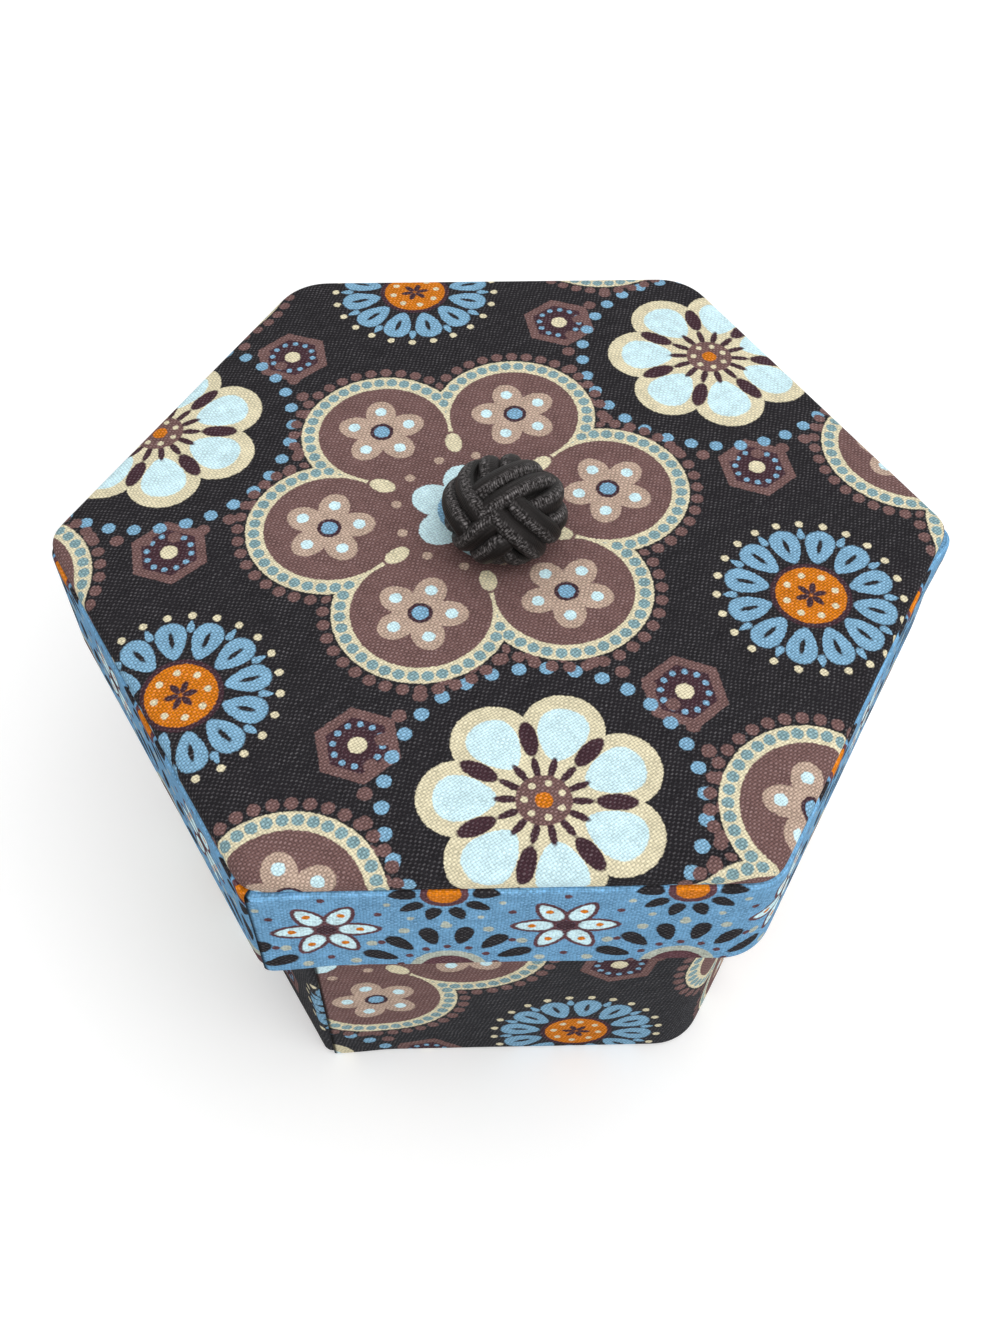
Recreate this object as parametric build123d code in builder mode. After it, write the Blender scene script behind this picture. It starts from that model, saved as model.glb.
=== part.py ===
from build123d import *
import os
from math import cos, radians, sin

# A hexagonal lift-off-lid box of bent board covered in printed cloth, with a padded top
# panel and a knotted button. Millimetres, +Z up, standing on Z = 0, two corners on the X axis
# and the front flat side facing -Y. The board strips and their cloth meet at the front left corner.

# Overall sizes
lid_corner_radius = 63.5  # centre to the lid's sharp corner
rim_slack = 2.75  # between the lined rim and the covered walls
wall_height = 62.1  # underside to the covered top edge of the walls
rim_height = 19.8  # covered height of the lid's rim

# Sheet thicknesses
cloth = 0.35  # glued printed cloth
lining = 0.35  # glued lining cloth
paper = 0.2  # gummed paper tape
wall_board = 2.0
bottom_board_thickness = 2.0
rim_board = 2.5
lid_board_thickness = 2.0
floor_card_thickness = 1.0
lining_card_thickness = 1.0
top_card_thickness = 1.0

# Padding
floor_pad = 1.5
top_pad_edge = 1.1  # wadding left at the panel's edge
top_crown = 1.3  # how much higher the panel is in the middle
floor_edge_round = 0.9
top_edge_round = 1.4

# Bends of the corners, from the one on +X round by the back: right, back right, back left,
# left, front left (the seam, creased tighter) and front right
rim_bends = [3.5, 8.0, 8.0, 3.5, 3.0, 8.0]
panel_bends = [3.0, 8.5, 8.5, 4.5, 4.0, 4.5]
wall_bends = [8.0, 8.0, 8.0, 8.0, 1.5, 8.0]
tightest_crease = 0.3

# Turn-ins, laps and fits
bottom_turn_in = 12.0
top_turn_down = 14.0
rim_turn_over = 12.0
rim_turn_up = 8.0
panel_turn_under = 10.0
base_sheet_inset = 3.0
panel_inset = 0.4  # the top panel stands this far inside the rim's face
lining_setback = 3.0  # cover left showing above a lining's edge
pad_clearance = 0.3  # round the floor pad and the lid's lining card
pad_skin_clearance = 0.05  # between wadding and the cloth stretched over it
seam_gap = 0.3
wall_seam_offset = 1.0  # from the bend's apex, on to the front face
rim_seam_offset = 0.1
tape_reach = 13.0  # tape on each side of a butt joint
overrun = 1.0  # past a face, for cuts

# The knotted button and its cord
knot_width = 16.4
knot_height = 12.8
knot_side_round = 5.0  # radius of the ball's side, less than half its height
knot_seat = 1.0  # how deep the ball is pulled on to the panel
knot_x = 0.9  # the ball is tied a little off the middle
knot_y = -1.2
cord = 2.4
cord_hole_clearance = 0.3
tail_gap = 0.3
tail_length = 13.0
tail_width = 3.6
patch_margin = 2.5

# A hexagon's flat side lies this share of its corner radius from the centre
side_share = cos(radians(30))

# Layers of the rim, measured in from its covered face
rim_strip_inset = cloth
rim_strip_inner = rim_strip_inset + rim_board
rim_turn_inset = rim_strip_inner + paper
rim_turn_inner = rim_turn_inset + cloth
rim_lining_inner = rim_turn_inner + lining
rim_side = lid_corner_radius * side_share

# Layers of the wall, measured in from its covered face, which the lid goes over with its slack
strip_inset = cloth
strip_inner = strip_inset + wall_board
turn_inset = strip_inner + paper
turn_inner = turn_inset + cloth
wall_lining_inner = turn_inner + lining
wall_side = rim_side - rim_lining_inner - rim_slack
wall_corner_radius = wall_side / side_share


def bent_hexagon(corner_radius, bends, inset, mode=Mode.ADD):
    """A hexagon inset evenly from its outer line, each corner bent to its own radius."""
    reach = corner_radius - inset / side_share
    with BuildSketch(mode=Mode.PRIVATE) as shape:
        RegularPolygon(reach, 6)
        for corner, bend in enumerate(bends):
            turn = radians(60 * corner)
            sharp = Vector(reach * cos(turn), reach * sin(turn))
            fillet(shape.vertices().sort_by_distance(sharp)[0], max(bend - inset, tightest_crease))
    add(shape.sketch, mode=mode)


def wall_outline(inset, mode=Mode.ADD):
    bent_hexagon(wall_corner_radius, wall_bends, inset, mode)


def rim_outline(inset, mode=Mode.ADD):
    bent_hexagon(lid_corner_radius, rim_bends, inset, mode)


def panel_outline(inset, mode=Mode.ADD):
    bent_hexagon(lid_corner_radius - panel_inset / side_share, panel_bends, inset, mode)


def seam_x(corner_radius, bend, offset):
    """Where the seam runs, offset from the apex of the front left corner's bend."""
    apex = corner_radius - bend * (1 / side_share - 1)
    return offset - apex / 2


def finish(piece, name):
    piece.part.label = name
    export_step(piece.part, f"parts/{name}.step")


os.makedirs("parts", exist_ok=True)

# The box

# Layers of the bottom, upwards from the table
turn_under_z = cloth
board_z = turn_under_z + cloth
floor_z = board_z + bottom_board_thickness
strip_top = wall_height - cloth
wall_seam_x = seam_x(wall_corner_radius, wall_bends[4], wall_seam_offset)
front_left = Vector(cos(radians(240)), sin(radians(240)))

with BuildPart() as base_sheet:
    with BuildSketch():
        wall_outline(base_sheet_inset)
    extrude(amount=turn_under_z)
    with BuildSketch(Plane.XY.offset(turn_under_z)):
        wall_outline(bottom_turn_in)
    extrude(amount=cloth)
finish(base_sheet, "base_sheet")

with BuildPart() as bottom_board:
    with BuildSketch(Plane.XY.offset(board_z)):
        wall_outline(strip_inner)
    extrude(amount=bottom_board_thickness)
finish(bottom_board, "bottom_board")

with BuildPart() as wall_strip:
    with BuildSketch(Plane.XY.offset(board_z)):
        wall_outline(strip_inset)
        wall_outline(strip_inner, Mode.SUBTRACT)
    extrude(amount=strip_top - board_z)
    # the butt joint, cut square through the front end of the strip
    with BuildSketch(Plane.XY.offset(board_z)):
        with Locations((wall_seam_x, -wall_side)):
            Rectangle(seam_gap, 2 * (strip_inner + overrun), align=(Align.MIN, Align.CENTER))
    extrude(amount=strip_top - board_z, mode=Mode.SUBTRACT)
finish(wall_strip, "wall_strip")

with BuildPart() as wall_joint_tape:
    with BuildSketch(Plane.XY.offset(floor_z)):
        wall_outline(strip_inner)
        wall_outline(turn_inset, Mode.SUBTRACT)
        with Locations(front_left * (wall_corner_radius - strip_inner / side_share)):
            Circle(tape_reach, mode=Mode.INTERSECT)
    extrude(amount=strip_top - floor_z)
finish(wall_joint_tape, "wall_joint_tape")

with BuildPart() as wall_cover:
    # turned in under the bottom
    with BuildSketch(Plane.XY.offset(turn_under_z)):
        wall_outline(0)
        wall_outline(bottom_turn_in, Mode.SUBTRACT)
    extrude(amount=cloth)
    # up the outside
    with BuildSketch(Plane.XY.offset(turn_under_z)):
        wall_outline(0)
        wall_outline(strip_inset, Mode.SUBTRACT)
    extrude(amount=wall_height - turn_under_z)
    # over the top edge
    with BuildSketch(Plane.XY.offset(strip_top)):
        wall_outline(0)
        wall_outline(turn_inner, Mode.SUBTRACT)
    extrude(amount=cloth)
    # down the inside
    with BuildSketch(Plane.XY.offset(wall_height - top_turn_down)):
        wall_outline(turn_inset)
        wall_outline(turn_inner, Mode.SUBTRACT)
    extrude(amount=top_turn_down)
    # the seam at the front left corner
    with BuildSketch(Plane.XY.offset(turn_under_z)):
        with Locations((wall_seam_x, -wall_side)):
            Rectangle(seam_gap, 2 * (bottom_turn_in + overrun), align=(Align.MIN, Align.CENTER))
    extrude(amount=wall_height - turn_under_z, mode=Mode.SUBTRACT)
finish(wall_cover, "wall_cover")

with BuildPart() as wall_lining:
    with BuildSketch(Plane.XY.offset(floor_z)):
        wall_outline(turn_inner)
        wall_outline(wall_lining_inner, Mode.SUBTRACT)
    extrude(amount=wall_height - lining_setback - floor_z)
finish(wall_lining, "wall_lining")

# The floor pad drops in between the linings
pad_outer = wall_lining_inner + pad_clearance
pad_inner = pad_outer + lining
wadding_z = floor_z + floor_card_thickness
floor_top = wadding_z + floor_pad + lining

with BuildPart() as floor_card:
    with BuildSketch(Plane.XY.offset(floor_z)):
        wall_outline(pad_inner)
    extrude(amount=floor_card_thickness)
finish(floor_card, "floor_card")

with BuildPart() as floor_wadding:
    with BuildSketch(Plane.XY.offset(wadding_z)):
        wall_outline(pad_inner)
    extrude(amount=floor_pad)
    fillet(floor_wadding.edges().group_by(Axis.Z)[-1], floor_edge_round)
finish(floor_wadding, "floor_wadding")

with BuildPart() as floor_lining:
    with BuildSketch(Plane.XY.offset(floor_z)):
        wall_outline(pad_outer)
    extrude(amount=floor_top - floor_z)
    fillet(floor_lining.edges().group_by(Axis.Z)[-1], floor_edge_round + lining)
    with BuildSketch(Plane.XY.offset(floor_z)):
        wall_outline(pad_inner)
    extrude(amount=floor_card_thickness, mode=Mode.SUBTRACT)
    add(floor_wadding.part, mode=Mode.SUBTRACT)
finish(floor_lining, "floor_lining")

# The lid

# Layers of the lid, upwards from the walls' top edge that it rests on
lining_card_z = wall_height + lining
lid_board_z = lining_card_z + lining_card_thickness
rim_strip_top = lid_board_z + lid_board_thickness
rim_top = rim_strip_top + cloth
rim_bottom = rim_top - rim_height
rim_seam_x = seam_x(lid_corner_radius, rim_bends[4], rim_seam_offset)

# The cord's two tails go side by side through one hole
hole_radius = tail_gap / 2 + cord + cord_hole_clearance
tail_thickness = lining_card_thickness - paper
tail_reach = tail_gap / 2 + cord + tail_length
patch_length = 2 * (tail_reach + patch_margin)
patch_width = tail_width + 2 * patch_margin

with BuildPart() as lid_board:
    with BuildSketch(Plane.XY.offset(lid_board_z)):
        rim_outline(rim_strip_inner)
        with Locations((knot_x, knot_y)):
            Circle(hole_radius, mode=Mode.SUBTRACT)
    extrude(amount=lid_board_thickness)
finish(lid_board, "lid_board")

with BuildPart() as rim_strip:
    with BuildSketch(Plane.XY.offset(rim_bottom + cloth)):
        rim_outline(rim_strip_inset)
        rim_outline(rim_strip_inner, Mode.SUBTRACT)
    extrude(amount=rim_height - 2 * cloth)
    # the butt joint, cut square through the front end of the strip
    with BuildSketch(Plane.XY.offset(rim_bottom + cloth)):
        with Locations((rim_seam_x, -rim_side)):
            Rectangle(seam_gap, 2 * (rim_strip_inner + overrun), align=(Align.MIN, Align.CENTER))
    extrude(amount=rim_height - 2 * cloth, mode=Mode.SUBTRACT)
finish(rim_strip, "rim_strip")

with BuildPart() as rim_joint_tape:
    with BuildSketch(Plane.XY.offset(rim_bottom + cloth)):
        rim_outline(rim_strip_inner)
        rim_outline(rim_turn_inset, Mode.SUBTRACT)
        with Locations(front_left * (lid_corner_radius - rim_strip_inner / side_share)):
            Circle(tape_reach, mode=Mode.INTERSECT)
    extrude(amount=lid_board_z - rim_bottom - cloth)
finish(rim_joint_tape, "rim_joint_tape")

with BuildPart() as rim_cover:
    # round the face of the rim
    with BuildSketch(Plane.XY.offset(rim_bottom)):
        rim_outline(0)
        rim_outline(rim_strip_inset, Mode.SUBTRACT)
    extrude(amount=rim_height)
    # turned over the top, under the panel
    with BuildSketch(Plane.XY.offset(rim_strip_top)):
        rim_outline(0)
        rim_outline(rim_turn_over, Mode.SUBTRACT)
    extrude(amount=cloth)
    # under the lower edge
    with BuildSketch(Plane.XY.offset(rim_bottom)):
        rim_outline(0)
        rim_outline(rim_turn_inner, Mode.SUBTRACT)
    extrude(amount=cloth)
    # and up the inside
    with BuildSketch(Plane.XY.offset(rim_bottom)):
        rim_outline(rim_turn_inset)
        rim_outline(rim_turn_inner, Mode.SUBTRACT)
    extrude(amount=rim_turn_up)
    # the seam at the front left corner
    with BuildSketch(Plane.XY.offset(rim_bottom)):
        with Locations((rim_seam_x, -rim_side)):
            Rectangle(seam_gap, 2 * (rim_turn_over + overrun), align=(Align.MIN, Align.CENTER))
    extrude(amount=rim_height, mode=Mode.SUBTRACT)
finish(rim_cover, "rim_cover")

with BuildPart() as rim_lining:
    with BuildSketch(Plane.XY.offset(rim_bottom + lining_setback)):
        rim_outline(rim_turn_inner)
        rim_outline(rim_lining_inner, Mode.SUBTRACT)
    extrude(amount=lid_board_z - rim_bottom - lining_setback)
finish(rim_lining, "rim_lining")

# The lined card inside the lid fits between the rim's linings
lid_pad_outer = rim_lining_inner + pad_clearance
lid_pad_inner = lid_pad_outer + lining

with BuildPart() as lid_lining_card:
    with BuildSketch(Plane.XY.offset(lining_card_z)):
        rim_outline(lid_pad_inner)
        # room for the tails and their patch
        with Locations((knot_x, knot_y)):
            Rectangle(patch_length + 2 * pad_clearance, patch_width + 2 * pad_clearance, mode=Mode.SUBTRACT)
    extrude(amount=lining_card_thickness)
finish(lid_lining_card, "lid_lining_card")

with BuildPart() as lid_lining:
    with BuildSketch(Plane.XY.offset(wall_height)):
        rim_outline(lid_pad_outer)
    extrude(amount=lid_board_z - wall_height)
    with BuildSketch(Plane.XY.offset(lining_card_z)):
        rim_outline(lid_pad_inner)
    extrude(amount=lining_card_thickness, mode=Mode.SUBTRACT)
finish(lid_lining, "lid_lining")

with BuildPart() as tail_patch:
    with BuildSketch(Plane.XY.offset(lining_card_z)):
        with Locations((knot_x, knot_y)):
            Rectangle(patch_length, patch_width)
    extrude(amount=paper)
finish(tail_patch, "tail_patch")

# The padded top panel, its crown a shallow cap of one large ball
card_z = rim_top + cloth
pad_z = card_z + top_card_thickness
panel_edge_z = pad_z + top_pad_edge + cloth
crown_z = panel_edge_z + top_crown
panel_reach = lid_corner_radius - panel_inset / side_share
crown_ball = (panel_reach * panel_reach + top_crown * top_crown) / (2 * top_crown)
crown_centre = crown_z - crown_ball


def crowned_block(inset, bottom, sink):
    """The panel's block above bottom, its crown lowered by sink and its upper edge rounded."""
    with BuildPart() as block:
        with BuildSketch(Plane.XY.offset(rim_top)):
            panel_outline(inset)
        extrude(amount=crown_z - rim_top)
        with Locations((0, 0, crown_centre)):
            Sphere(crown_ball - sink, mode=Mode.INTERSECT)
        upper = block.faces().sort_by(Axis.Z)[-1]
        fillet(upper.edges(), top_edge_round - sink)
        split(bisect_by=Plane.XY.offset(bottom), keep=Keep.TOP)
    return block.part


panel_block = crowned_block(0, rim_top, 0)
panel_core = crowned_block(cloth, card_z, cloth)
wadding_block = crowned_block(cloth + pad_skin_clearance, pad_z, cloth + pad_skin_clearance)

with BuildPart() as top_card:
    with BuildSketch(Plane.XY.offset(card_z)):
        panel_outline(cloth)
        with Locations((knot_x, knot_y)):
            Circle(hole_radius, mode=Mode.SUBTRACT)
    extrude(amount=top_card_thickness)
finish(top_card, "top_card")

with BuildPart() as top_wadding:
    add(wadding_block)
    with Locations((knot_x, knot_y, pad_z)):
        Cylinder(hole_radius, 2 * (crown_z - pad_z), mode=Mode.SUBTRACT)
finish(top_wadding, "top_wadding")

with BuildPart() as top_cover:
    add(panel_block)
    add(panel_core, mode=Mode.SUBTRACT)
    # open in the middle of its turned-under edge, and pierced for the cord
    with BuildSketch(Plane.XY.offset(rim_top)):
        panel_outline(panel_turn_under)
    extrude(amount=cloth, mode=Mode.SUBTRACT)
    with Locations((knot_x, knot_y, pad_z)):
        Cylinder(hole_radius, 2 * (crown_z - pad_z), mode=Mode.SUBTRACT)
finish(top_cover, "top_cover")

# The ball's outline is an oval of four arcs: round sides and a flatter top and bottom
knot_radius = knot_width / 2
knot_rise = knot_height / 2
knot_z = crown_z + knot_rise - knot_seat
knot_top_round = (knot_radius ** 2 + knot_rise ** 2 - 2 * knot_radius * knot_side_round) / (
    2 * (knot_rise - knot_side_round))
side_centre = Vector(knot_radius - knot_side_round, knot_z)
top_centre = Vector(0, knot_z + knot_rise - knot_top_round)
bottom_centre = Vector(0, knot_z - knot_rise + knot_top_round)
upper_join = side_centre + (side_centre - top_centre).normalized() * knot_side_round
lower_join = side_centre + (side_centre - bottom_centre).normalized() * knot_side_round
ball_top = Vector(0, knot_z + knot_rise)
ball_bottom = Vector(0, knot_z - knot_rise)

with BuildPart() as centred_knot:
    with BuildSketch(Plane.XZ):
        with BuildLine():
            RadiusArc(ball_top, upper_join, knot_top_round)
            RadiusArc(upper_join, lower_join, knot_side_round)
            RadiusArc(lower_join, ball_bottom, knot_top_round)
            Line(ball_bottom, ball_top)
        make_face()
    revolve(axis=Axis.Z)
    # flat where it is pulled on to the panel
    split(bisect_by=Plane.XY.offset(crown_z), keep=Keep.TOP)
    # two tails through the lid, pressed flat under the board
    for side in (-1, 1):
        with BuildSketch(Plane.XY.offset(lid_board_z)):
            with Locations((side * (cord + tail_gap) / 2, 0)):
                Circle(cord / 2)
        extrude(amount=crown_z + knot_seat - lid_board_z)
        with BuildSketch(Plane.XY.offset(lid_board_z)):
            with Locations((side * (tail_reach + tail_gap / 2) / 2, 0)):
                Rectangle(tail_reach - tail_gap / 2, tail_width)
        extrude(amount=-tail_thickness)

with BuildPart() as button_knot:
    with Locations((knot_x, knot_y)):
        add(centred_knot.part)
finish(button_knot, "button_knot")

print("covered width across the lid's corners", round(2 * lid_corner_radius, 1))
print("width across its flat sides", round(2 * rim_side, 1))
print("width of the walls across their corners", round(2 * wall_corner_radius, 2))
print("height to the panel's edge", round(panel_edge_z, 2), "and with the knot",
      round(crown_z + knot_height - knot_seat, 2))
print("rim from", round(rim_bottom, 2), "to", round(rim_top, 2), "floor pad top", round(floor_top, 2))
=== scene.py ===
import bpy
from math import atan, cos, exp, hypot, pi, radians, sin, sqrt, tan
from mathutils import Matrix, Vector, noise


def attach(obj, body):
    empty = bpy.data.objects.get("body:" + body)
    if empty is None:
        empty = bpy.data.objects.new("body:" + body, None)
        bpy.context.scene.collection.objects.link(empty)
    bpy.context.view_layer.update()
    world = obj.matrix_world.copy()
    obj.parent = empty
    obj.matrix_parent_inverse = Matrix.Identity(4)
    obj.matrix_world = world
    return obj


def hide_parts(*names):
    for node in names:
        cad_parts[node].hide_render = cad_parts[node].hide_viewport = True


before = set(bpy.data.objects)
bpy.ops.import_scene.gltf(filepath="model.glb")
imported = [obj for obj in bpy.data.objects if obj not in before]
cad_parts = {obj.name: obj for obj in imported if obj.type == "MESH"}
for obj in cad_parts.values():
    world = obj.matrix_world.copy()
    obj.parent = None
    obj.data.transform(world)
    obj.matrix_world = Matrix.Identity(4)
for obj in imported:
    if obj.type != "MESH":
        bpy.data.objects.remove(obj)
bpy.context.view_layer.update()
scene = bpy.context.scene
mm = 0.001
sideShare = cos(radians(30))  # a hexagon's flat side, as a share of its corner radius

# Camera, set to the photograph's viewing angle
cameraLook = {
    "lens": 38.24, "elevation": 53.54, "turn": -1.6, "roll": 0.38,
    "aim": (-0.51, -21.89, 65.8), "distance": 186.84, "near": 0.01,
}


def placeCamera(look):
    elevation, turn, roll = (radians(look[key]) for key in ("elevation", "turn", "roll"))
    back = Vector((sin(turn) * cos(elevation), -cos(turn) * cos(elevation), sin(elevation)))
    across = Vector((0, 0, 1)).cross(back).normalized()
    above = back.cross(across)
    right = across * cos(roll) + above * sin(roll)
    upward = above * cos(roll) - across * sin(roll)
    camera = bpy.data.objects.new("camera", bpy.data.cameras.new("camera"))
    camera.data.lens = look["lens"]
    camera.data.clip_start = look["near"]
    place = Matrix((right, upward, back)).transposed().to_4x4()
    place.translation = (Vector(look["aim"]) + back * look["distance"]) * mm
    camera.matrix_world = place
    scene.collection.objects.link(camera)
    scene.camera = camera


placeCamera(cameraLook)
scene.view_settings.view_transform = "Standard"
print("camera placed")


# Shader maths

class Signal:  # a node's output that adds and multiplies like a number
    def __init__(self, tree, socket):
        self.tree, self.socket = tree, socket

    def math(self, operation, *others, clamp=False):
        return made(self.tree, "Math", enumerate((self, *others)), operation=operation, use_clamp=clamp)

    def __add__(self, other):
        return self.math("ADD", other)

    def __sub__(self, other):
        return self.math("SUBTRACT", other)

    def __mul__(self, other):
        return self.math("MULTIPLY", other)

    def __truediv__(self, other):
        return self.math("DIVIDE", other)

    def flipped(self):
        return (self * -1) + 1

    def part(self, low, high):  # 0 at low, 1 at high
        return ((self - low) / (high - low)).math("ADD", 0, clamp=True)


def plug(value, socket):
    if isinstance(value, Signal):
        value.tree.links.new(value.socket, socket)
    else:
        socket.default_value = value


def made(tree, kind, inputs=(), output=0, **settings):
    # a new node with its settings and inputs, as the signal that it gives
    node = tree.nodes.new("ShaderNode" + kind)
    for key, value in settings.items():
        setattr(node, key, value)
    for place, value in inputs:
        plug(value, node.inputs[place])
    return Signal(tree, node.outputs[output])


def makeGroup(name, inputs, outputs):  # an input is given as its first value or as its kind
    tree = bpy.data.node_groups.new(name, "ShaderNodeTree")
    for label, start in inputs.items():
        kind = start if isinstance(start, str) else "Float"
        socket = tree.interface.new_socket(name=label, in_out="INPUT", socket_type="NodeSocket" + kind)
        if kind == "Float":
            socket.default_value = start
    for label, kind in outputs.items():
        tree.interface.new_socket(name=label, in_out="OUTPUT", socket_type="NodeSocket" + kind)
    entry, leave = tree.nodes.new("NodeGroupInput"), tree.nodes.new("NodeGroupOutput")
    return tree, {label: Signal(tree, entry.outputs[label]) for label in inputs}, leave.inputs


def useGroup(group, **values):  # gives the group's first output
    return made(values["Vector"].tree, "Group", values.items(), node_tree=group)


def groupOutputs(group, **values):
    first = useGroup(group, **values)
    return [Signal(first.tree, output) for output in first.socket.node.outputs]


def vectorMath(operation, *values, output=0):
    return made(values[0].tree, "VectorMath", enumerate(values), output, operation=operation)


def lengthOf(vector):
    return vectorMath("LENGTH", vector, output=1)


def scaled(vector, factor):
    return made(vector.tree, "VectorMath", ((0, vector), ("Scale", factor)), operation="SCALE")


def rotated(vector, angle):
    return made(vector.tree, "VectorRotate", (("Vector", vector), ("Angle", angle)), rotation_type="Z_AXIS")


def turned(vector, place, angle):  # the vector seen from a place, turned
    return rotated(vectorMath("SUBTRACT", vector, (*place, 0)), -angle)


def split(vector):
    x = made(vector.tree, "SeparateXYZ", ((0, vector),))
    return x, Signal(x.tree, x.socket.node.outputs[1])


def join(x, y):
    return made(x.tree, "CombineXYZ", ((0, x), (1, y)))


mixPlaces = {"RGBA": (6, 7, 2), "VECTOR": (4, 5, 1)}  # the mix node's sockets for each kind


def over(under, colour, mask, kind="RGBA"):
    low, high, output = mixPlaces[kind]
    return made(mask.tree, "Mix", ((0, mask), (low, under), (high, colour)), output, data_type=kind)


def noiseAt(vector, scale, detail=2.0, roughness=0.5, output=0):
    inputs = {"Vector": vector, "Scale": scale, "Detail": detail, "Roughness": roughness}
    return made(vector.tree, "TexNoise", inputs.items(), output)


def wanderAt(vector, scale):  # noise in three directions
    return noiseAt(vector, scale, 1.0, output=1)


inkEdge = 0.16  # how soft the edge of an inked shape is, in millimetres


def printed(distance):  # the inked side of a motif's edge
    return (distance / -inkEdge + 0.5).math("ADD", 0, clamp=True)


def sectors(vector, half, start):
    # how far out a point is, and its place along and across the nearest of equal sectors
    x, y = split(vector)
    away = (x * x + y * y).math("SQRT")
    turn = (y.math("ARCTAN2", x) - start).math("WRAP", half, half * -1)
    return away, away * turn.math("COSINE"), away * turn.math("SINE")


# Printed motifs, in millimetres on the cloth

def makePetalRing():
    tree, given, leave = makeGroup(
        "petal ring", {"Vector": "Vector", "Count": 8, "Reach": 8, "Length": 3, "Width": 2, "Turn": 0, "Point": 0},
        {"Mask": "Float"})
    half = given["Count"].math("DIVIDE", pi).math("POWER", -1)
    _, ahead, aside = sectors(given["Vector"], half, given["Turn"])
    along = (ahead - given["Reach"]) / given["Length"]
    narrow = (along * given["Point"] * -1 + 1).math("MAXIMUM", 0.15)
    across = aside / (given["Width"] * narrow)
    oval = ((along * along + across * across).math("SQRT") - 1) * given["Length"].math("MINIMUM", given["Width"])
    plug(printed(oval), leave["Mask"])
    return tree


def makePolygon():
    tree, given, leave = makeGroup(
        "polygon", {"Vector": "Vector", "Sides": 4, "Reach": 3, "Turn": 0}, {"Mask": "Float"})
    half = given["Sides"].math("DIVIDE", pi).math("POWER", -1)
    _, ahead, _ = sectors(given["Vector"], half, given["Turn"])
    plug(printed(ahead - given["Reach"]), leave["Mask"])
    return tree


def makeRepeat():
    # the vector to the nearest of staggered rows of places
    tree, given, leave = makeGroup(
        "staggered repeat", {"Vector": "Vector", "Spacing": 84, "Rows": 72}, {"Vector": "Vector"})
    half = join(given["Spacing"] * 0.5, given["Rows"])
    least = scaled(half, -1)
    first = vectorMath("WRAP", given["Vector"], half, least)
    second = vectorMath("WRAP", vectorMath("SUBTRACT", given["Vector"], half), half, least)
    nearer = lengthOf(first).math("LESS_THAN", lengthOf(second))
    plug(over(second, first, nearer, "VECTOR"), leave["Vector"])
    return tree


petalRing, polygon, staggered = makePetalRing(), makePolygon(), makeRepeat()
inks = ["Field", "Ground", "Mauve", "Maroon", "Tan", "Cream", "Blue", "Pale", "Orange", "Teal"]


def petals(vector, count, reach, length, width, turn=0.0, point=0.0):
    return useGroup(petalRing, Vector=vector, Count=count, Reach=reach, Length=length,
                    Width=width, Turn=turn, Point=point)


def disc(vector, radius):
    return printed(lengthOf(vector) - radius)


def inked(vector, colour, ink, layers):
    # layers over one another: an ink, and either a disc's radius or, for a ring of petals,
    # their count, reach, length, width, turn and how much they narrow outwards
    for name, *sizes in layers:
        mask = petals(vector, *sizes) if len(sizes) > 1 else disc(vector, *sizes)
        colour = over(colour, ink[name], mask)
    return colour


collar = {"lobes": 6, "reach": 19.5, "radius": 12.0, "core": 18.0, "border": 2.5, "beads": 36,
          "fringe": 1.1, "fringeBead": 0.85, "string": 1.15, "bead": 0.8, "flower": (0.4, 0), "flowerTurn": radians(36)}


def drawCollar(vector, colour, ink):
    # a six-lobed collar with a beaded border and a plum blossom in each lobe
    away, ahead, aside = sectors(vector, pi / collar["lobes"], 0)
    lobe = join(ahead - collar["reach"], aside)
    edge = (lengthOf(lobe) - collar["radius"]).math("MINIMUM", away - collar["core"])
    fringe = petals(lobe, collar["beads"], collar["radius"] + collar["fringe"],
                    collar["fringeBead"], collar["fringeBead"])
    colour = over(colour, ink["Mauve"], fringe)
    colour = over(colour, ink["Cream"], printed(edge))
    band = printed((edge + collar["border"] / 2).math("ABSOLUTE") - collar["border"] / 2)
    beads = petals(lobe, collar["beads"], collar["radius"] - collar["string"],
                   collar["bead"], collar["bead"], pi / collar["beads"])
    colour = over(colour, ink["Teal"], beads * band)
    colour = over(colour, ink["Mauve"], printed(edge + collar["border"]))
    colour = inked(turned(lobe, collar["flower"], collar["flowerTurn"]), colour, ink, [
        ("Tan", 5, 3.7, 2.75, 2.2), ("Pale", 5, 4.2, 0.85, 0.85), ("Maroon", 1.7), ("Blue", 1.15)])
    return inked(vector, colour, ink, [
        ("Tan", 12, 10.4, 0.7, 0.7, radians(15)), ("Cream", 6, 13.2, 1.9, 1.2, radians(30)),
        ("Pale", 6, 5.2, 3.4, 2.9, radians(30)), ("Blue", 4.6), ("Orange", 3.0)])


def drawRosette(vector, colour, ink):
    # an orange-eyed rosette with two rows of petals
    return inked(vector, colour, ink, [
        ("Cream", 24, 12.7, 0.55, 0.55), ("Blue", 12, 8.7, 3.0, 1.95, 0, -0.35), ("Ground", 12, 8.9, 1.3, 0.35),
        ("Blue", 12, 10.9, 0.95, 0.5, radians(15), 0.4), ("Maroon", 5.5), ("Orange", 4.8),
        ("Cream", 8, 3.5, 0.5, 0.5), ("Maroon", 6, 1.2, 1.0, 0.45)])


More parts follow.
